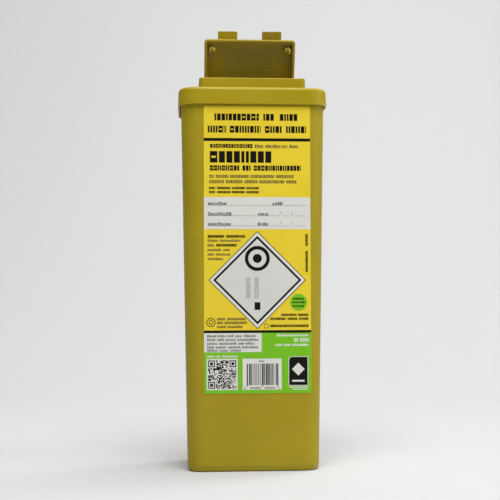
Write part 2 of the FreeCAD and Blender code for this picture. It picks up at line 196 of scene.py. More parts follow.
def feed(tree: bpy.types.NodeTree, node: bpy.types.Node, inputs: Inputs) -> None:
    """Gives a node's inputs their values, and links those that take another node's output.

    Args:
        tree: The tree that the node is in.
        node: The node.
        inputs: A value or an output socket for each input, by its name or number.
    """
    for name, value in inputs.items():
        if isinstance(value, bpy.types.NodeSocket):
            tree.links.new(value, node.inputs[name])
        else:
            node.inputs[name].default_value = value


def add_node(tree: bpy.types.NodeTree, kind: str, inputs: Inputs, **settings: object) -> bpy.types.Node:
    """Adds a node to a tree.

    Args:
        tree: The tree.
        kind: The end of the node's type name.
        inputs: A value or an output socket for each input, by its name or number.
        **settings: The node's properties.

    Returns:
        The new node.
    """
    node = tree.nodes.new(f"ShaderNode{kind}")
    for name, value in settings.items():
        setattr(node, name, value)
    feed(tree, node, inputs)
    return node


# Shared shader effects


@dataclass(frozen=True)
class GroupSocket:
    """One number that goes into or comes out of a shader group."""

    name: str
    default: float | None = None


class ShaderEffect:
    """A shader node group that puts out masks and values only, built once and shared by the finishes."""

    def __init__(self, name: str, inputs: Sequence[GroupSocket], outputs: Sequence[GroupSocket]) -> None:
        """Makes the empty group with its sockets.

        Args:
            name: The group's name.
            inputs: The sockets that a material sets.
            outputs: The sockets that a material reads.
        """
        self.tree = bpy.data.node_groups.new(name, "ShaderNodeTree")
        for sockets, way in ((inputs, "INPUT"), (outputs, "OUTPUT")):
            for socket in sockets:
                made = self.tree.interface.new_socket(name=socket.name, in_out=way, socket_type="NodeSocketFloat")
                if socket.default is not None:
                    made.default_value = socket.default
        self.given = self.tree.nodes.new("NodeGroupInput").outputs
        self.result = self.tree.nodes.new("NodeGroupOutput")
        self.place = add_node(self.tree, "TexCoord", {}).outputs["Object"]

    def noise(self, place: bpy.types.NodeSocket, inputs: Inputs) -> bpy.types.NodeSocket:
        """Adds a noise pattern, and gives its value."""
        return add_node(self.tree, "TexNoise", {"Vector": place, **inputs}).outputs["Fac"]

    def ramp(self, value: bpy.types.NodeSocket, ends: tuple[float, float]) -> bpy.types.NodeSocket:
        """Spreads the values between two ends over 0 to 1."""
        inputs = {"Value": value, "From Min": ends[0], "From Max": ends[1]}
        return add_node(self.tree, "MapRange", inputs).outputs["Result"]

    def product(self, first: bpy.types.NodeSocket, second: bpy.types.NodeSocket) -> bpy.types.NodeSocket:
        """Multiplies two values."""
        return add_node(self.tree, "Math", {0: first, 1: second}, operation="MULTIPLY").outputs["Value"]

    def put_out(self, outputs: Inputs) -> bpy.types.NodeTree:
        """Links the group's outputs, and gives the finished group."""
        feed(self.tree, self.result, outputs)
        return self.tree


@dataclass(frozen=True)
class MouldingMottle:
    """The unevenness of a moulded surface: Mottle in broad patches and Grain as a fine texture, both 0 to 1."""

    patch_scale: float = 35.0
    grain_scale: float = 1400.0
    patch_detail: float = 4.0
    grain_detail: float = 2.0
    noise_roughness: float = 0.55
    spread: tuple[float, float] = (0.3, 0.7)

    def build(self) -> bpy.types.NodeTree:
        """Builds the group.

        Returns:
            The finished group.
        """
        effect = ShaderEffect(
            "moulding_mottle",
            [GroupSocket("Patch Scale", self.patch_scale), GroupSocket("Grain Scale", self.grain_scale)],
            [GroupSocket("Mottle"), GroupSocket("Grain")],
        )
        made = {}
        for scale, output, detail in (
            ("Patch Scale", "Mottle", self.patch_detail), ("Grain Scale", "Grain", self.grain_detail),
        ):
            inputs = {"Scale": effect.given[scale], "Detail": detail, "Roughness": self.noise_roughness}
            made[output] = effect.ramp(effect.noise(effect.place, inputs), self.spread)
        return effect.put_out(made)


@dataclass(frozen=True)
class HandlingScuffs:
    """Sparse handling marks, as thin streaks that break up and fade: Scuff is 1 on a mark and 0 elsewhere."""

    density: float = 0.5
    streak_scale: float = 90.0
    turn: tuple[float, float, float] = (0.3, 0.9, 0.2)
    stretch: tuple[float, float, float] = (1.0, 1.0, 14.0)
    streak_detail: float = 3.0
    streak_ends: tuple[float, float] = (0.68, 0.76)
    patch_scale: float = 28.0
    patch_ends: tuple[float, float] = (0.5, 0.62)

    def build(self) -> bpy.types.NodeTree:
        """Builds the group.

        Returns:
            The finished group.
        """
        effect = ShaderEffect(
            "handling_scuffs",
            [GroupSocket("Density", self.density), GroupSocket("Streak Scale", self.streak_scale)],
            [GroupSocket("Scuff")],
        )
        inputs = {"Vector": effect.place, "Rotation": self.turn, "Scale": self.stretch}
        stretched = add_node(effect.tree, "Mapping", inputs).outputs["Vector"]
        streaks = effect.noise(stretched, {"Scale": effect.given["Streak Scale"], "Detail": self.streak_detail})
        patches = effect.noise(effect.place, {"Scale": self.patch_scale})
        broken = effect.product(effect.ramp(streaks, self.streak_ends), effect.ramp(patches, self.patch_ends))
        return effect.put_out({"Scuff": effect.product(broken, effect.given["Density"])})


@dataclass(frozen=True)
class EdgeWearAndHighlight:
    """Edges made paler, partly as rubbed wear and partly as a painted highlight: Edge is 1 on a sharp edge and 0 on a
    flat or gently curved surface.
    """

    width: float = 0.0004
    amount: float = 0.5
    samples: int = 4
    likeness_ends: tuple[float, float] = (0.98, 0.8)
    patch_scale: float = 180.0

    def build(self) -> bpy.types.NodeTree:
        """Builds the group.

        Returns:
            The finished group.
        """
        effect = ShaderEffect(
            "edge_wear_and_highlight", [GroupSocket("Width", self.width), GroupSocket("Amount", self.amount)], [GroupSocket("Edge")]
        )
        rounded = add_node(effect.tree, "Bevel", {"Radius": effect.given["Width"]}, samples=self.samples)
        surface = add_node(effect.tree, "NewGeometry", {})
        normals = {0: rounded.outputs["Normal"], 1: surface.outputs["Normal"]}
        likeness = add_node(effect.tree, "VectorMath", normals, operation="DOT_PRODUCT").outputs["Value"]
        patches = effect.noise(effect.place, {"Scale": self.patch_scale})
        broken = effect.product(effect.ramp(likeness, self.likeness_ends), patches)
        return effect.put_out({"Edge": effect.product(broken, effect.given["Amount"])})


@dataclass
class Effects:
    """The shader groups that the finishes share."""

    mottle: bpy.types.NodeTree
    scuffs: bpy.types.NodeTree
    edge_wear_and_highlight: bpy.types.NodeTree

    @classmethod
    def build(cls) -> "Effects":
        """Builds every shared group."""
        return cls(MouldingMottle().build(), HandlingScuffs().build(), EdgeWearAndHighlight().build())


# Finishes


@dataclass(frozen=True)
class Finish:
    """A surface finish with its own colour, gloss, unevenness and wear, and where asked a painted highlight on its
    sharp edges.

    The colours are linear. Depths are in metres.
    """

    name: str
    colour: Colour
    shade: Colour
    roughness: float
    roughness_spread: float = 0.08
    refraction: float = 1.49
    gloss: float = 0.5
    coat: float = 0.0
    coat_roughness: float = 0.2
    translucency: float = 0.0
    scatter: Colour = (1.0, 0.85, 0.3)
    scatter_depth: float = 0.0015
    patch_scale: float = 35.0
    grain_scale: float = 1400.0
    grain_depth: float = 0.00001
    wear: float = 0.3
    wear_and_highlight_tint: Colour = (0.62, 0.55, 0.25)
    edge_wear_and_highlight: float = 0.0

    def shared(self, effects: Effects) -> bpy.types.Material:
        """The finish's material, built the first time that it is asked for."""
        return bpy.data.materials.get(self.name) or self.build(effects)

    def build(self, effects: Effects) -> bpy.types.Material:
        """Builds the material.

        Args:
            effects: The shared shader groups.

        Returns:
            The finished material.
        """
        material = bpy.data.materials.new(self.name)
        material.use_nodes = True
        material.diffuse_color = (*self.colour, 1.0)
        tree = material.node_tree
        scales = {"Patch Scale": self.patch_scale, "Grain Scale": self.grain_scale}
        mottle = add_node(tree, "Group", scales, node_tree=effects.mottle).outputs
        scuffs = add_node(tree, "Group", {"Density": self.wear}, node_tree=effects.scuffs).outputs
        surface = self.blend(tree, mottle["Mottle"], (*self.shade, 1.0), self.colour)
        surface = self.blend(tree, scuffs["Scuff"], surface, self.wear_and_highlight_tint)
        # Sharp edges are blended towards the pale tint: rubbed wear and a painted highlight.
        if self.edge_wear_and_highlight:
            edges = add_node(tree, "Group", {"Amount": self.edge_wear_and_highlight}, node_tree=effects.edge_wear_and_highlight).outputs
            surface = self.blend(tree, edges["Edge"], surface, self.wear_and_highlight_tint)
        low, high = self.roughness - self.roughness_spread, self.roughness + self.roughness_spread
        rough = add_node(tree, "MapRange", {"Value": mottle["Mottle"], "To Min": low, "To Max": high})
        grain = {"Height": mottle["Grain"], "Distance": self.grain_depth, "Strength": 1.0}
        feed(tree, tree.nodes["Principled BSDF"], {
            "Base Color": surface,
            "Roughness": rough.outputs["Result"],
            "Normal": add_node(tree, "Bump", grain).outputs["Normal"],
            "IOR": self.refraction,
            "Specular IOR Level": self.gloss,
            "Coat Roughness": self.coat_roughness,
            "Coat Weight": self.coat,
            "Subsurface Weight": self.translucency,
            "Subsurface Radius": self.scatter,
            "Subsurface Scale": self.scatter_depth,
        })
        return material

    @staticmethod
    def blend(
        tree: bpy.types.NodeTree, mask: bpy.types.NodeSocket, under: object, over: Colour
    ) -> bpy.types.NodeSocket:
        """Blends a colour over another by a mask, and gives the blended colour."""
        inputs = {"Factor": mask, "A": under, "B": (*over, 1.0)}
        return add_node(tree, "Mix", inputs, data_type="RGBA").outputs["Result"]


# The plastics' sharp edges are made paler, as wear and as a painted highlight.
TUB_PLASTIC = Finish(
    name="tub_olive_polypropylene", colour=(0.415, 0.325, 0.013), shade=(0.37, 0.285, 0.01), roughness=0.44,
    gloss=0.24, translucency=0.12, grain_scale=1100.0, grain_depth=0.000012, wear=0.25, edge_wear_and_highlight=0.7,
)
LID_PLASTIC = replace(
    TUB_PLASTIC, name="lid_olive_polypropylene", colour=(0.43, 0.32, 0.009), shade=(0.385, 0.285, 0.007),
    roughness=0.42, grain_scale=1300.0, grain_depth=0.00001, wear=0.2,
)
# The door is the lid's plastic made darker: painted shade for its inner face, which leans forward out of the overhead
# key light.
DOOR_PLASTIC_SHADED = replace(
    LID_PLASTIC, name="door_olive_polypropylene_shaded", colour=(0.375, 0.275, 0.008), shade=(0.33, 0.24, 0.006),
    translucency=0.2, wear=0.15,
)
FILM_YELLOW = Finish(
    name="label_film_yellow", colour=(0.88, 0.67, 0.03), shade=(0.84, 0.63, 0.025), roughness=0.45,
    gloss=0.4, coat=0.12, grain_scale=600.0, grain_depth=0.000004, wear=0.08, wear_and_highlight_tint=(0.85, 0.75, 0.4),
)
FILM_GREEN = replace(
    FILM_YELLOW, name="label_film_green", colour=(0.19, 0.56, 0.006), shade=(0.17, 0.52, 0.005),
    wear_and_highlight_tint=(0.4, 0.6, 0.2),
)
FILM_WHITE = replace(
    FILM_YELLOW, name="label_film_white", colour=(0.78, 0.77, 0.71), shade=(0.74, 0.73, 0.68), roughness=0.5,
    coat=0.1, wear=0.1, wear_and_highlight_tint=(0.6, 0.58, 0.5),
)
FILM_GREY = replace(
    FILM_WHITE, name="label_film_pale_grey", colour=(0.72, 0.715, 0.68), shade=(0.68, 0.675, 0.64),
    wear_and_highlight_tint=(0.55, 0.54, 0.5),
)
INK_SOFT = Finish(
    name="print_ink_brown", colour=(0.17, 0.13, 0.03), shade=(0.2, 0.15, 0.035), roughness=0.45,
    gloss=0.4, grain_scale=900.0, grain_depth=0.000003, wear=0.1, wear_and_highlight_tint=(0.3, 0.25, 0.1),
)
INK_BLACK = replace(
    INK_SOFT, name="print_ink_black", colour=(0.006, 0.005, 0.004), shade=(0.009, 0.008, 0.006), roughness=0.5,
    gloss=0.12, wear_and_highlight_tint=(0.08, 0.07, 0.05),
)
INK_GREY = replace(
    INK_SOFT, name="print_ink_grey", colour=(0.16, 0.155, 0.14), shade=(0.2, 0.19, 0.17),
    wear_and_highlight_tint=(0.35, 0.34, 0.3),
)
INK_FAINT = replace(
    INK_SOFT, name="print_ink_faint", colour=(0.42, 0.415, 0.39), shade=(0.46, 0.455, 0.43),
    wear_and_highlight_tint=(0.5, 0.5, 0.45),
)


# The mouldings


@dataclass
class Mouldings:
    """The tub, the lid, the door and the label film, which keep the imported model's shapes."""

    finishes: dict[str, Finish] = field(
        default_factory=lambda: {
            "tub": TUB_PLASTIC, "lid": LID_PLASTIC, "door": DOOR_PLASTIC_SHADED, "front_label": FILM_YELLOW,
        }
    )

    def dress(self, nodes: dict[str, bpy.types.Object], effects: Effects) -> list[bpy.types.Object]:
        """Gives each moulding its finish.

        Args:
            nodes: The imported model's objects by name.
            effects: The shared shader groups.

        Returns:
            The dressed objects.
        """
        for name, finish in self.finishes.items():
            for material_slot in nodes[name].material_slots:
                material_slot.material = finish.shared(effects)
        return [nodes[name] for name in self.finishes]


# The print on the label


class Layer(Enum):
    """The layers of print, by how far their faces stand above the film, in metres."""

    FIELD = 0.02 * MM
    PANEL = 0.035 * MM
    INK = 0.055 * MM
    TOP = 0.075 * MM


@dataclass(frozen=True)
class Area:
    """A rectangle on the label, in millimetres from its top left corner, with down as positive."""

    left: float
    top: float
    right: float
    bottom: float

    @property
    def width(self) -> float:
        """The rectangle's width."""
        return self.right - self.left

    @property
    def height(self) -> float:
        """The rectangle's height."""
        return self.bottom - self.top

    def shrunk(self, amount: float) -> "Area":
        """The rectangle with each side moved inwards by the amount."""
        return Area(self.left + amount, self.top + amount, self.right - amount, self.bottom - amount)


def words(*ends: float) -> tuple[tuple[float, float], ...]:
    """Pairs up where words start and end."""
    return tuple(zip(ends[::2], ends[1::2]))


@dataclass(frozen=True)
class TextRow:
    """A row of dummy text, given by its top, its height, and where each word starts and ends.

    An upright row reads upwards: its top is then the distance of its side from the label's left edge.
    """

    top: float
    height: float
    words: tuple[tuple[float, float], ...]
    case: Case = Case.CAPITALS
    upright: bool = False


@dataclass
class LabelSheet:
    """The label's own plane: it turns millimetres on the label into places in front of the container."""

    film: bpy.types.Object
    left: float
    top: float
    front: float
    width: float
    height: float
    margin: float = 0.015
    bend_start: float = 49.4
    bend_step: float = 0.25
    proud: float = 3.0 * MM
    thickness: float = 0.015 * MM
    corner_segments: int = 6

    @classmethod
    def measure(cls, film: bpy.types.Object, node: str) -> "LabelSheet":
        """Reads the label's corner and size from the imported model.

        Args:
            film: The label film's object.
            node: The label film's node name.

        Returns:
            The label sheet.
        """
        low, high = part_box(node)
        return cls(
            film=film, left=low.x, top=high.z, front=low.y, width=(high.x - low.x) / MM, height=(high.z - low.z) / MM
        )

    def place(self, across: float, down: float) -> Vector:
        """The place in front of the film of a point given in millimetres on the label."""
        return Vector((self.left + across * MM, self.front - self.proud, self.top - down * MM))

    def trimmed(self, area: Area) -> Area:
        """Trims a rectangle to the film.

        Args:
            area: The rectangle.

        Returns:
            The part that lies on the film, a hair inside its edges.
        """
        return Area(
            max(area.left, self.margin), max(area.top, self.margin),
            min(area.right, self.width - self.margin), min(area.bottom, self.height - self.margin),
        )

    def grid(self, area: Area, columns: int, rows: int, name: str, tilt: float = 0.0) -> bpy.types.Object:
        """Adds an upright grid that faces the front.

        Args:
            area: The rectangle that it fills, as far as the film reaches.
            columns: How many faces it has across.
            rows: How many faces it has down.
            name: The object's name.
            tilt: How far it leans to the right, in radians.

        Returns:
            The settled grid.
        """
        deselect_all()
        area = self.trimmed(area)
        middle = self.place((area.left + area.right) / 2, (area.top + area.bottom) / 2)
        bpy.ops.mesh.primitive_grid_add(
            x_subdivisions=columns, y_subdivisions=rows, size=1.0, location=middle, rotation=(math.pi / 2, tilt, 0)
        )
        piece = bpy.context.object
        piece.name = name
        piece.scale = (area.width * MM, area.height * MM, 1.0)
        settle(piece)
        return piece

    def stencil(
        self, area: Area, columns: int, rows: int, name: str, is_kept: Callable[[int, int], bool]
    ) -> bpy.types.Object:
        """Adds an upright grid and cuts away the cells that aren't kept.

        Args:
            area: The rectangle that the grid fills.
            columns: How many cells it has across.
            rows: How many cells it has down.
            name: The object's name.
            is_kept: Says whether the cell in this column and row, counted from the top left, is kept.

        Returns:
            The flat piece.
        """
        piece = self.grid(area, columns, rows, name)
        origin = self.place(area.left, area.top)

        def is_spare(face: bpy.types.MeshPolygon) -> bool:
            """True for a cell that isn't kept."""
            across, down = face.center.x - origin.x, origin.z - face.center.z
            return not is_kept(int(across / MM / area.width * columns), int(down / MM / area.height * rows))

        with editing(piece, Element.FACE, is_spare):
            bpy.ops.mesh.delete(type="FACE")
        return piece

    def disc(self, across: float, down: float, radius: float, sides: int, name: str) -> bpy.types.Object:
        """Adds an upright filled circle that faces the front.

        Args:
            across: The middle's distance from the label's left edge, in millimetres.
            down: The middle's distance from the label's top edge, in millimetres.
            radius: The radius in millimetres.
            sides: How many sides it has.
            name: The object's name.

        Returns:
            The settled disc.
        """
        deselect_all()
        bpy.ops.mesh.primitive_circle_add(
            vertices=sides, radius=radius * MM, fill_type="NGON",
            location=self.place(across, down), rotation=(math.pi / 2, 0, 0),
        )
        piece = bpy.context.object
        piece.name = name
        settle(piece)
        return piece

    def ring(self, across: float, down: float, radius: float, width: float, name: str) -> bpy.types.Object:
        """Adds a flat ring: a disc that is inset and has its middle cut away.

        Args:
            across: The middle's distance from the label's left edge, in millimetres.
            down: The middle's distance from the label's top edge, in millimetres.
            radius: The outer radius in millimetres.
            width: The ring's width in millimetres.
            name: The object's name.

        Returns:
            The flat ring.
        """
        piece = self.disc(across, down, radius, ROUND_SIDES, name)
        with editing(piece):
            bpy.ops.mesh.inset(thickness=width * MM)
            bpy.ops.mesh.delete(type="FACE")
        return piece

    def round_corners(
        self, piece: bpy.types.Object, corners: Sequence[tuple[float, float]], radius: float
    ) -> None:
        """Rounds the corners of a flat piece that lie at the given points.

        Args:
            piece: The flat piece.
            corners: The corners' places on the label, in millimetres.
            radius: The corner radius in millimetres.
        """
        places = [self.place(across, down) for across, down in corners]

        def is_corner(vertex: bpy.types.MeshVertex) -> bool:
            """True for a vertex at one of the corners."""
            return any((vertex.co - place).length < self.margin * MM for place in places)

        with editing(piece, Element.VERTEX, is_corner):
            bpy.ops.mesh.bevel(offset=radius * MM, segments=self.corner_segments, affect="VERTICES")

    def cut_for_bend(self, piece: bpy.types.Object) -> None:
        """Cuts a flat piece into narrow upright strips where the film follows the wall round a corner.

        Args:
            piece: The flat piece.
        """
        right = (max(vertex.co.x for vertex in piece.data.vertices) - self.left) / MM
        cut = self.bend_start
        with editing(piece):
            while cut < right:
                bpy.ops.mesh.select_all(action="SELECT")
                bpy.ops.mesh.bisect(plane_co=self.place(cut, 0.0), plane_no=(1, 0, 0))
                cut += self.bend_step

    def lay(self, piece: bpy.types.Object, layer: Layer) -> None:
        """Lays a flat piece on the film and gives it its thickness.

        Args:
            piece: The flat piece, standing in front of the film.
            layer: The layer of print that it belongs to.
        """
        self.cut_for_bend(piece)
        activate(piece)
        bpy.ops.object.modifier_add(type="SHRINKWRAP")
        wrap = piece.modifiers[-1]
        wrap.target = self.film
        wrap.wrap_method = "PROJECT"
        wrap.use_project_y = True
        wrap.use_positive_direction = True
        wrap.use_negative_direction = False
        wrap.offset = layer.value
        bpy.ops.object.modifier_apply(modifier=wrap.name)
        bpy.ops.object.modifier_add(type="SOLIDIFY")
        shell = piece.modifiers[-1]
        shell.thickness = self.thickness
        shell.offset = -1.0
        bpy.ops.object.modifier_apply(modifier=shell.name)


@dataclass
class DummyText:
    """Rows of plain blocks where a real label has words. They hold no letters."""

    sheet: LabelSheet
    seed: int = 7
    stroke: float = 0.13
    levels: int = 5
    tall_share: float = 0.3
    mix: tuple[int, ...] = (1, 2, 5, 3)
    fewest_columns: int = 3
    seed_step: int = 1000

    def row(self, row: TextRow, number: int) -> bpy.types.Object:
        """Cuts one row's blocks out of a fine grid.

        Args:
            row: The row's place, height and words.
            number: The row's number, which seeds its blocks.

        Returns:
            The row's flat mesh.
        """
        rng = random.Random(self.seed * self.seed_step + number)
        start, end = row.words[0][0], row.words[-1][1]
        columns = max(self.fewest_columns, round((end - start) / (self.stroke * row.height)))
        filled = self.filled_cells(row, columns, (end - start) / columns, rng)
        if row.upright:
            area = Area(row.top, start, row.top + row.height, end)
            piece = self.sheet.stencil(
                area, self.levels, columns, "dummy_text",
                lambda across, down: (down, self.levels - 1 - across) in filled,
            )
        else:
            area = Area(start, row.top, end, row.top + row.height)
            piece = self.sheet.stencil(
                area, columns, self.levels, "dummy_text", lambda across, down: (across, down) in filled
            )
        merge_flat_faces(piece)
        return piece

    def filled_cells(
        self, row: TextRow, columns: int, step: float, rng: random.Random
    ) -> set[tuple[int, int]]:
        """Shares a row's cells out between plain blocks, slit blocks, paired bars and gaps.

        Args:
            row: The row.
            columns: How many columns the grid has.
            step: A column's width in millimetres.
            rng: The row's random numbers.

        Returns:
            The filled cells as pairs of column and level, of which level 0 is the row's top.
        """
        cells: set[tuple[int, int]] = set()
        start, middle = row.words[0][0], self.levels // 2
        for word_start, word_end in row.words:
            column = round((word_start - start) / step)
            last = min(columns, round((word_end - start) / step))
            while column < last:
                block = rng.choices(tuple(Block), self.mix)[0]
                width = min(block.columns, last - column)
                tall = row.case is Case.CAPITALS or rng.random() < self.tall_share
                for offset in range(width):
                    for level in range(0 if tall else 1, self.levels):
                        slit = block is Block.SLIT and level == middle and 0 < offset < width - 1
                        between = block is Block.PAIR and offset == width // 2
                        if not slit and not between:
                            cells.add((column + offset, level))
                column += width + 1
        return cells

    def rows(self, rows: Iterable[TextRow], name: str) -> bpy.types.Object:
        """Builds several rows as one flat mesh.

        Args:
            rows: The rows.
            name: The mesh's name.

        Returns:
            The joined mesh.
        """
        made = [self.row(row, number) for number, row in enumerate(rows)]
        return join(made, name)


@dataclass
class PrintPart:
    """A part of the print, which lays its flat pieces on the sheet and gives them their finishes."""

    sheet: LabelSheet
    effects: Effects

    def lay(self, piece: bpy.types.Object, finish: Finish, layer: Layer) -> bpy.types.Object:
        """Lays a flat piece on the film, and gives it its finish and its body.

        Args:
            piece: The flat piece.
            finish: Its finish, unless its faces have theirs.
            layer: The layer of print that it belongs to.

        Returns:
            The finished piece.
        """
        if not piece.data.materials:
            piece.data.materials.append(finish.shared(self.effects))
        self.sheet.lay(piece, layer)
        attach(piece, Body.CONTAINER.value)
        return piece


@dataclass
class ColourFields(PrintPart):
    """The green field at the foot of the label and the white panels."""

    green: Area = Area(0.0, 110.3, 52.2, 140.0)
    corner: float = 0.82
    panels: dict[str, Area] = field(
        default_factory=lambda: {
            "form_panel": Area(0.0, 44.7, 52.2, 60.3), "note_panel": Area(0.0, 110.8, 28.0, 120.0),
            "square_panel": Area(1.3, 123.2, 16.3, 138.2), "bars_panel": Area(18.7, 123.2, 37.7, 138.2),
        }
    )

    def build(self) -> list[bpy.types.Object]:
        """Builds the field and the panels.

        Returns:
            The finished pieces.
        """
        green = self.sheet.grid(self.green, 2, 2, "green_field")
        foot = self.sheet.trimmed(self.green)
        self.sheet.round_corners(green, ((foot.left, foot.bottom), (foot.right, foot.bottom)), self.corner)
        made = [self.lay(green, FILM_GREEN, Layer.FIELD)]
        for name, area in self.panels.items():
            made.append(self.lay(self.sheet.grid(area, 1, 1, name), FILM_WHITE, Layer.PANEL))
        return made


@dataclass
class HeavyRules(PrintPart):
    """The fill line and the rule above the green field."""

    fill_line: Area = Area(0.0, 15.8, 52.2, 17.25)
    lower_rule: Area = Area(0.0, 109.5, 52.2, 110.7)

    def build(self) -> list[bpy.types.Object]:
        """Builds the two rules as one piece."""
        rules = [self.sheet.grid(area, 1, 1, "rule") for area in (self.fill_line, self.lower_rule)]
        return [self.lay(join(rules, "heavy_rules"), INK_BLACK, Layer.INK)]


@dataclass
class Wording(PrintPart):
    """The rows of dummy text that stand by themselves, from the bold heading to the small print."""

    bold: tuple[TextRow, ...] = (
        TextRow(3.8, 3.3, words(5.3, 27.2, 29.3, 35.3, 37.2, 46.7)),
        TextRow(9.8, 3.3, words(2.0, 10.9, 12.8, 27.9, 30.1, 38.3, 40.4, 50.2)),
        TextRow(22.2, 5.6, words(3.0, 33.0)),
        TextRow(29.2, 2.5, words(3.0, 17.3, 18.9, 22.8, 24.4, 47.5)),
        TextRow(18.7, 1.9, words(3.1, 23.8)),
        TextRow(63.2, 1.3, words(1.9, 9.9, 10.8, 20.2)),
        TextRow(67.5, 1.3, words(6.0, 15.9)),
    )
    thin: tuple[TextRow, ...] = (
        TextRow(18.9, 1.6, words(24.9, 29.0, 30.0, 37.5, 38.5, 41.0, 42.0, 46.1), Case.MIXED),
        TextRow(33.8, 1.5, words(2.7, 4.9, 5.8, 12.0, 12.9, 22.0, 22.9, 34.4, 35.3, 43.9)),
        TextRow(36.4, 1.5, words(2.7, 9.8, 10.8, 19.0, 19.9, 26.1, 27.0, 39.2, 40.2, 45.5)),
        TextRow(65.3, 1.2, words(1.8, 7.0, 7.9, 17.9), Case.MIXED),
        TextRow(67.6, 1.2, words(1.8, 4.9), Case.MIXED),
        TextRow(69.8, 1.2, words(1.8, 8.6, 9.5, 12.6), Case.MIXED),
        TextRow(72.0, 1.2, words(1.8, 5.2, 6.0, 12.9), Case.MIXED),
        TextRow(74.2, 1.2, words(1.8, 9.4), Case.MIXED),
        TextRow(103.4, 1.2, words(6.3, 10.2, 11.2, 20.2)),
        TextRow(105.2, 1.2, words(6.3, 9.2, 10.1, 20.8)),
        TextRow(107.1, 1.2, words(6.3, 10.6, 11.4, 18.7), Case.MIXED),
    )
    small: tuple[TextRow, ...] = (
        TextRow(39.7, 1.1, words(2.6, 5.6, 6.4, 13.0, 13.8, 20.0, 20.8, 26.9)),
        TextRow(41.7, 1.1, words(2.6, 5.6, 6.4, 13.0, 13.8, 20.0, 20.8, 26.9)),
        TextRow(101.5, 1.1, words(37.6, 45.0, 45.8, 50.8)),
        TextRow(103.4, 1.1, words(32.2, 39.8, 40.6, 45.4, 46.2, 50.8)),
        TextRow(106.8, 1.2, words(32.2, 51.0)),
        TextRow(49.6, 1.1, words(71.0, 81.2), upright=True),
        TextRow(49.6, 1.1, words(62.8, 68.4), upright=True),
    )
    note: tuple[TextRow, ...] = (
        TextRow(111.6, 1.2, words(1.5, 6.0, 6.7, 10.4, 11.1, 14.6, 15.3, 18.4, 19.1, 25.4), Case.MIXED),
        TextRow(113.4, 1.2, words(1.5, 5.6, 6.3, 9.7, 10.4, 15.5, 16.2, 26.2), Case.MIXED),
        TextRow(115.2, 1.2, words(1.5, 6.7, 7.4, 15.9, 16.6, 19.4, 20.1, 24.4), Case.MIXED),
        TextRow(117.0, 1.2, words(1.5, 4.8, 5.5, 10.8, 11.5, 17.7, 18.4, 26.2), Case.MIXED),
        TextRow(118.6, 1.1, words(1.5, 6.9, 7.6, 12.0, 12.7, 17.8), Case.MIXED),
    )
    reversed_out: tuple[TextRow, ...] = (
        TextRow(111.4, 1.1, words(35.4, 50.7), Case.MIXED),
        TextRow(113.4, 1.7, words(43.7, 46.0, 46.9, 51.0)),
        TextRow(116.0, 1.2, words(34.6, 38.2, 39.0, 42.0, 42.8, 50.8), Case.MIXED),
        TextRow(121.5, 1.0, words(1.5, 4.8, 5.5, 8.0, 8.7, 16.4), Case.MIXED),
        TextRow(136.7, 0.7, words(41.3, 50.5), Case.MIXED),
        TextRow(137.7, 0.7, words(43.0, 50.5), Case.MIXED),
    )
    bold_seed: int = 11
    small_seed: int = 23

    def build(self) -> list[bpy.types.Object]:
        """Builds each group of rows as one piece.

        Returns:
            The finished pieces.
        """
        bold = DummyText(self.sheet, seed=self.bold_seed)
        small = DummyText(self.sheet, seed=self.small_seed)
        groups = (
            (bold, self.bold, "bold_rows", INK_BLACK, Layer.INK),
            (small, self.thin, "thin_rows", INK_SOFT, Layer.INK),
            (small, self.small, "small_bold_rows", INK_BLACK, Layer.INK),
            (small, self.note, "note_rows", INK_GREY, Layer.INK),
            (small, self.reversed_out, "reversed_rows", FILM_WHITE, Layer.PANEL),
        )
        return [self.lay(text.rows(rows, name), finish, layer) for text, rows, name, finish, layer in groups]


@dataclass(frozen=True)
class FormRow:
    """A write-in row: where it runs, where its two words are, and whether a date follows the second."""

    down: float
    first_end: float
    second_start: float
    has_date: bool


@dataclass
class WriteInForm(PrintPart):
    """The write-in rows: dummy words, the thin lines after them and the slashes of the dates."""

    rows: tuple[FormRow, ...] = (
        FormRow(47.2, 11.2, 33.4, False), FormRow(52.3, 13.6, 26.3, True), FormRow(57.2, 12.9, 26.3, True),
    )
    left: float = 2.0
    right: float = 49.9
    word_height: float = 1.8
    word_rise: float = 0.2
    second_width: float = 5.2
    line_drop: float = 1.45
    line_width: float = 0.15
    line_gaps: tuple[float, float, float] = (0.1, 0.2, 0.9)
    date_lines: tuple[tuple[float, float], ...] = ((32.2, 36.0), (38.2, 41.6), (44.0, 49.9))
    slashes: tuple[float, ...] = (37.1, 43.0)
    slash_width: float = 0.2
    slash_reach: tuple[float, float] = (0.5, 1.7)
    slash_tilt: float = math.radians(20.0)
    seed: int = 31

    def build(self) -> list[bpy.types.Object]:
        """Builds the words as one piece and the lines as another.

        Returns:
            The finished pieces.
        """
        text = DummyText(self.sheet, seed=self.seed)
        rows = [
            TextRow(
                row.down - self.word_rise, self.word_height,
                words(self.left, row.first_end, row.second_start, row.second_start + self.second_width), Case.MIXED,
            )
            for row in self.rows
        ]
        made = [self.lay(text.rows(rows, "form_words"), INK_GREY, Layer.INK)]
        strokes = [
            self.sheet.grid(Area(left, top, right, top + self.line_width), 1, 1, "form_line")
            for left, right, top in self.line_spans()
        ]
        above, below = self.slash_reach
        for row in self.rows:
            for left in self.slashes if row.has_date else ():
                area = Area(left, row.down - above, left + self.slash_width, row.down + below)
                strokes.append(self.sheet.grid(area, 1, 2, "form_slash", self.slash_tilt))
        made.append(self.lay(join(strokes, "form_lines"), INK_GREY, Layer.INK))
        return made

    def line_spans(self) -> list[tuple[float, float, float]]:
        """Works out where the write-in lines run.

        Returns:
            The left end, right end and top of every line.
        """
        after_first, before_second, after_second = self.line_gaps
        spans = []
        for row in self.rows:
            top = row.down + self.line_drop
            spans.append((row.first_end + after_first, row.second_start - before_second, top))
            if row.has_date:
                spans.extend((left, right, top) for left, right in self.date_lines)
            else:
                spans.append((row.second_start + self.second_width + after_second, self.right, top))
        return spans


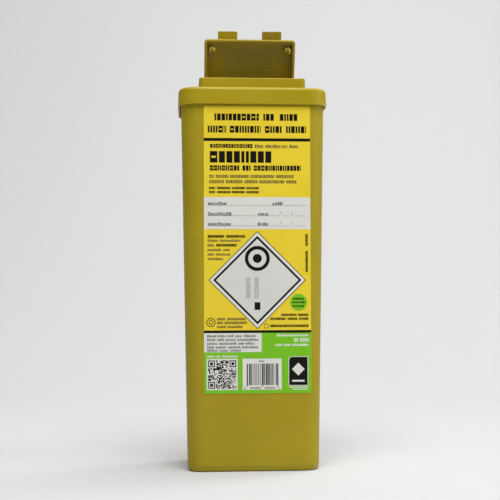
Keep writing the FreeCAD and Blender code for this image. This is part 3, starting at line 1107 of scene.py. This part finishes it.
@dataclass
class DiamondPanel(PrintPart):
    """The diamond panel with its frames, a plain target mark, a small block and faint dotted rows."""

    across: float = 26.0
    down: float = 85.1
    half_diagonal: float = 23.8
    outline: float = 0.35
    border: float = 1.25
    inner_line: float = 1.0
    mark_down: float = 74.6
    ring_radius: float = 6.1
    ring_width: float = 1.7
    dot_radius: float = 2.2
    block: Area = Area(24.6, 95.9, 27.4, 99.6)
    dotted: tuple[TextRow, ...] = (
        TextRow(20.5, 2.1, words(83.8, 94.0), upright=True), TextRow(24.6, 2.1, words(83.8, 94.0), upright=True),
    )
    dotted_stroke: float = 0.12
    seed: int = 41

    def build(self) -> list[bpy.types.Object]:
        """Builds the panel, its marks and its faint rows.

        Returns:
            The finished pieces.
        """
        panel = self.sheet.disc(self.across, self.down, self.half_diagonal, DIAMOND_SIDES, "diamond_panel")
        pale, white, black = range(3)
        for finish in (FILM_GREY, FILM_WHITE, INK_BLACK):
            panel.data.materials.append(finish.shared(self.effects))
        with editing(panel):
            # Each band keeps the material of the face that it is inset from.
            for band, width in ((black, self.outline), (white, self.border), (black, self.inner_line)):
                panel.active_material_index = band
                bpy.ops.object.material_slot_assign()
                bpy.ops.mesh.inset(thickness=width * MM)
            panel.active_material_index = pale
            bpy.ops.object.material_slot_assign()
        made = [self.lay(panel, FILM_GREY, Layer.PANEL)]
        ring = self.sheet.ring(self.across, self.mark_down, self.ring_radius, self.ring_width, "target_ring")
        dot = self.sheet.disc(self.across, self.mark_down, self.dot_radius, ROUND_SIDES, "target_dot")
        block = self.sheet.grid(self.block, 2, 2, "lower_block")
        made.append(self.lay(join([ring, dot, block], "diamond_marks"), INK_BLACK, Layer.INK))
        text = DummyText(self.sheet, seed=self.seed, stroke=self.dotted_stroke)
        made.append(self.lay(text.rows(self.dotted, "dotted_rows"), INK_FAINT, Layer.INK))
        return made


@dataclass(frozen=True)
class RoundMark:
    """A thin ring: its middle, outer radius and width."""

    across: float
    down: float
    radius: float
    width: float


@dataclass
class RoundMarks(PrintPart):
    """The green disc with its rows, and the small outlined rounds."""

    across: float = 46.1
    down: float = 96.0
    radius: float = 4.1
    row_height: float = 1.0
    row_shifts: tuple[tuple[float, float], ...] = ((-2.3, 2.6), (-0.6, 3.2), (1.2, 2.8))
    rings: tuple[RoundMark, ...] = (
        RoundMark(3.4, 105.6, 2.2, 0.35), RoundMark(3.4, 105.6, 1.1, 0.3), RoundMark(30.3, 107.4, 1.2, 0.2),
    )
    seed: int = 53

    def build(self) -> list[bpy.types.Object]:
        """Builds the disc, its rows and the rings.

        Returns:
            The finished pieces.
        """
        disc = self.sheet.disc(self.across, self.down, self.radius, ROUND_SIDES, "green_disc")
        made = [self.lay(disc, FILM_GREEN, Layer.PANEL)]
        text = DummyText(self.sheet, seed=self.seed)
        rows = [
            TextRow(self.down + shift, self.row_height, words(self.across - reach, self.across + reach), Case.MIXED)
            for shift, reach in self.row_shifts
        ]
        made.append(self.lay(text.rows(rows, "green_disc_rows"), INK_BLACK, Layer.INK))
        rings = [self.sheet.ring(mark.across, mark.down, mark.radius, mark.width, "round") for mark in self.rings]
        made.append(self.lay(join(rings, "outlined_rounds"), INK_BLACK, Layer.INK))
        return made


@dataclass
class SquarePattern(PrintPart):
    """A square field of scattered cells with a framed square in three corners. It holds no data."""

    area: Area = Area(2.0, 123.9, 15.6, 137.5)
    cells: int = 29
    corner: int = 7
    corner_rings: tuple[int, ...] = (0, 1, 3)
    share: float = 0.5
    seed: int = 61

    def build(self) -> list[bpy.types.Object]:
        """Cuts the pattern out of a grid.

        Returns:
            The finished pieces.
        """
        dark = self.dark_cells()
        pattern = self.sheet.stencil(
            self.area, self.cells, self.cells, "square_pattern", lambda across, down: (across, down) in dark
        )
        return [self.lay(pattern, INK_BLACK, Layer.INK)]

    def dark_cells(self) -> set[tuple[int, int]]:
        """Scatters the cells and draws the framed squares.

        Returns:
            The dark cells, as pairs of column and row.
        """
        rng = random.Random(self.seed)
        last = self.cells - self.corner
        dark = {
            (column, row) for column in range(self.cells) for row in range(self.cells) if rng.random() < self.share
        }
        for left, top in ((0, 0), (last, 0), (0, last)):
            for column in range(-1, self.corner + 1):
                for row in range(-1, self.corner + 1):
                    cell = (left + column, top + row)
                    dark.discard(cell)
                    if max(abs(column - self.corner // 2), abs(row - self.corner // 2)) in self.corner_rings:
                        dark.add(cell)
        return dark


@dataclass
class BarPattern(PrintPart):
    """A field of upright bars of uneven widths, with rows of dummy digits. It holds no data."""

    area: Area = Area(20.7, 125.6, 36.0, 136.8)
    columns: int = 84
    rows: int = 14
    guard: int = 3
    bar_widths: tuple[int, ...] = (1, 2, 2, 3)
    gap_widths: tuple[int, ...] = (1, 1, 2, 3)
    digits: tuple[TextRow, ...] = (
        TextRow(124.1, 0.8, words(26.6, 29.2)),
        TextRow(136.9, 0.9, words(19.6, 20.3, 22.4, 27.4, 29.4, 34.4, 35.9, 36.4)),
    )
    bar_seed: int = 75
    digit_seed: int = 73

    def build(self) -> list[bpy.types.Object]:
        """Cuts the bars out of a grid, and builds the rows of digits.

        Returns:
            The finished pieces.
        """
        bars, guards = self.bar_columns(), self.guard_columns()
        piece = self.sheet.stencil(
            self.area, self.columns, self.rows, "upright_bars",
            lambda across, down: across in guards or (across in bars and down < self.rows - 1),
        )
        merge_flat_faces(piece)
        text = DummyText(self.sheet, seed=self.digit_seed)
        return [
            self.lay(piece, INK_BLACK, Layer.INK),
            self.lay(text.rows(self.digits, "bar_rows"), INK_GREY, Layer.INK),
        ]

    def bar_columns(self) -> set[int]:
        """Draws the bars' widths and the gaps between them.

        Returns:
            The columns that the bars fill.
        """
        rng = random.Random(self.bar_seed)
        dark: set[int] = set()
        column = 0
        while column < self.columns:
            width = rng.choice(self.bar_widths)
            dark.update(range(column, min(column + width, self.columns)))
            column += width + rng.choice(self.gap_widths)
        return dark

    def guard_columns(self) -> set[int]:
        """The columns of the longer bars, a pair at each end and one in the middle."""
        firsts = (0, (self.columns - self.guard) // 2, self.columns - self.guard)
        return {first + shift for first in firsts for shift in (0, self.guard - 1)}


@dataclass
class DarkBlock(PrintPart):
    """The plain dark block with a pale outline, a pale diamond and a pale bar."""

    area: Area = Area(41.0, 122.2, 50.6, 136.4)
    outline: float = 0.3
    corner: float = 1.9
    cells: int = 3
    diamond_across: float = 45.8
    diamond_down: float = 128.4
    diamond_half: float = 3.1
    bar: Area = Area(42.8, 133.6, 48.8, 134.5)

    def build(self) -> list[bpy.types.Object]:
        """Builds the outline, the block and its pale marks.

        Returns:
            The finished pieces.
        """
        made = []
        for name, area, corner, finish, layer in (
            ("dark_block_outline", self.area, self.corner, FILM_WHITE, Layer.PANEL),
            ("dark_block", self.area.shrunk(self.outline), self.corner - self.outline, INK_BLACK, Layer.INK),
        ):
            block = self.sheet.grid(area, self.cells, self.cells, name)
            self.sheet.round_corners(block, ((area.left, area.top),), corner)
            made.append(self.lay(block, finish, layer))
        diamond = self.sheet.disc(
            self.diamond_across, self.diamond_down, self.diamond_half, DIAMOND_SIDES, "pale_diamond"
        )
        bar = self.sheet.grid(self.bar, 1, 1, "pale_bar")
        made.append(self.lay(join([diamond, bar], "dark_block_marks"), FILM_WHITE, Layer.TOP))
        return made


@dataclass
class FrontLabel:
    """The whole print on the front label."""

    sheet: LabelSheet
    effects: Effects
    parts: tuple[type, ...] = (
        ColourFields, HeavyRules, Wording, WriteInForm, DiamondPanel, RoundMarks, SquarePattern, BarPattern, DarkBlock,
    )

    def build(self) -> list[bpy.types.Object]:
        """Builds every part of the print in order."""
        return [piece for part in self.parts for piece in part(self.sheet, self.effects).build()]


# The studio


@dataclass(frozen=True)
class SoftLight:
    """A rectangular area light that faces a target."""

    name: str
    place: tuple[float, float, float]
    target: tuple[float, float, float]
    width: float
    height: float
    power: float

    def build(self) -> None:
        """Adds the light to the scene."""
        data = bpy.data.lights.new(self.name, "AREA")
        data.shape = "RECTANGLE"
        data.size, data.size_y = self.width, self.height
        data.energy = self.power
        data.color = WHITE
        lamp = bpy.data.objects.new(self.name, data)
        bpy.context.scene.collection.objects.link(lamp)
        lamp.location = self.place
        aim = Vector(self.target) - Vector(self.place)
        lamp.rotation_euler = aim.to_track_quat("-Z", "Y").to_euler()


@dataclass
class Studio:
    """A plain pale sweep, soft lights and the camera."""

    camera_place: tuple[float, float, float] = (-0.03376, -0.50248, 0.08490)
    camera_turn: float = math.radians(-3.788)
    camera_pitch: float = math.radians(2.638)
    camera_roll: float = math.radians(-0.206)
    camera_lens: float = 71.41
    camera_sensor: float = 36.0
    camera_near: float = 0.01
    sweep_near: float = -1.6
    sweep_far: float = 0.95
    sweep_half_width: float = 2.2
    sweep_height: float = 2.4
    sweep_radius: float = 0.7
    sweep_segments: int = 32
    sweep_roughness: float = 0.9
    sweep_gloss: float = 0.15
    sweep_colour: Colour = (0.575, 0.575, 0.58)
    ambient: float = 0.02
    lights: tuple[SoftLight, ...] = (
        SoftLight("key_softbox", (0.0, -0.6, 1.3), (0.0, 0.0, 0.12), 1.0, 0.7, 19.0),
        SoftLight("right_strip", (0.8, -0.3, 0.5), (0.0, 0.0, 0.1), 0.35, 0.9, 2.8),
        SoftLight("sweep_light", (0.5, 0.25, 1.6), (0.15, 0.95, 0.45), 1.6, 0.5, 17.0),
    )

    def build(self) -> None:
        """Builds the sweep, the lights and the camera."""
        self.build_sweep()
        for light in self.lights:
            light.build()
        self.build_world()
        self.build_camera()

    def build_sweep(self) -> None:
        """Builds the floor that curves up into a backdrop."""
        deselect_all()
        length = self.sweep_far - self.sweep_near
        middle = (self.sweep_far + self.sweep_near) / 2
        bpy.ops.mesh.primitive_plane_add(size=1.0, location=(0, middle, 0))
        sweep = bpy.context.object
        sweep.name = "studio_sweep"
        sweep.scale = (2 * self.sweep_half_width, length, 1)
        settle(sweep)

        def is_far_foot(edge: bpy.types.MeshEdge) -> bool:
            """True for the floor's far edge, where the backdrop rises."""
            ends = [sweep.data.vertices[number].co for number in edge.vertices]
            return all(end.y > self.sweep_far - self.sweep_radius and end.z < MM for end in ends)

        with editing(sweep, Element.EDGE, is_far_foot):
            bpy.ops.mesh.extrude_region_move(TRANSFORM_OT_translate={"value": (0, 0, self.sweep_height)})
        with editing(sweep, Element.EDGE, is_far_foot):
            bpy.ops.mesh.bevel(offset=self.sweep_radius, segments=self.sweep_segments, affect="EDGES")
        bpy.ops.object.shade_smooth()
        material = bpy.data.materials.new("studio_paper")
        material.use_nodes = True
        feed(material.node_tree, material.node_tree.nodes["Principled BSDF"], {
            "Base Color": (*self.sweep_colour, 1.0),
            "Roughness": self.sweep_roughness,
            "Specular IOR Level": self.sweep_gloss,
        })
        sweep.data.materials.append(material)

    def build_world(self) -> None:
        """Sets the dim ambient light, the pale surround that only a direct look sees, and the colour response."""
        world = bpy.data.worlds.new("studio_air")
        world.use_nodes = True
        tree = world.node_tree
        air = tree.nodes["Background"]
        feed(tree, air, {"Color": (*WHITE, 1.0), "Strength": self.ambient})
        surround = add_node(tree, "Background", {"Color": (*self.sweep_colour, 1.0), "Strength": 1.0})
        look = add_node(tree, "LightPath", {}).outputs["Is Camera Ray"]
        choice = add_node(
            tree, "MixShader", {"Fac": look, 1: air.outputs["Background"], 2: surround.outputs["Background"]}
        )
        feed(tree, tree.nodes["World Output"], {"Surface": choice.outputs["Shader"]})
        bpy.context.scene.world = world
        bpy.context.scene.view_settings.view_transform = "Standard"

    def build_camera(self) -> None:
        """Adds the camera."""
        data = bpy.data.cameras.new("studio_camera")
        data.lens = self.camera_lens
        data.sensor_width = self.camera_sensor
        data.clip_start = self.camera_near
        camera = bpy.data.objects.new("studio_camera", data)
        bpy.context.scene.collection.objects.link(camera)
        turn = Matrix.Rotation(self.camera_turn, 4, "Z")
        pitch = Matrix.Rotation(math.pi / 2 + self.camera_pitch, 4, "X")
        roll = Matrix.Rotation(self.camera_roll, 4, "Z")
        camera.matrix_world = Matrix.Translation(Vector(self.camera_place)) @ turn @ pitch @ roll
        bpy.context.scene.camera = camera


def corners(box: Sequence[Vector]) -> list[list[float]]:
    """A box's two corners as plain lists of numbers."""
    return [[float(value) for value in corner] for corner in box]


def main() -> None:
    """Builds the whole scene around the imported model."""
    logging.basicConfig(level=logging.INFO, format="%(message)s")
    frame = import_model()
    effects = Effects.build()
    for piece in Mouldings().dress(frame["nodes"], effects):
        LOG.info("dressed %s with %s", piece.name, piece.material_slots[0].material.name)
    sheet = LabelSheet.measure(frame["nodes"]["front_label"], "front_label")
    for piece in FrontLabel(sheet, effects).build():
        LOG.info("built %s with %d faces", piece.name, len(piece.data.polygons))
    Studio().build()
    LOG.info("built the studio")


if __name__ == "__main__":
    main()
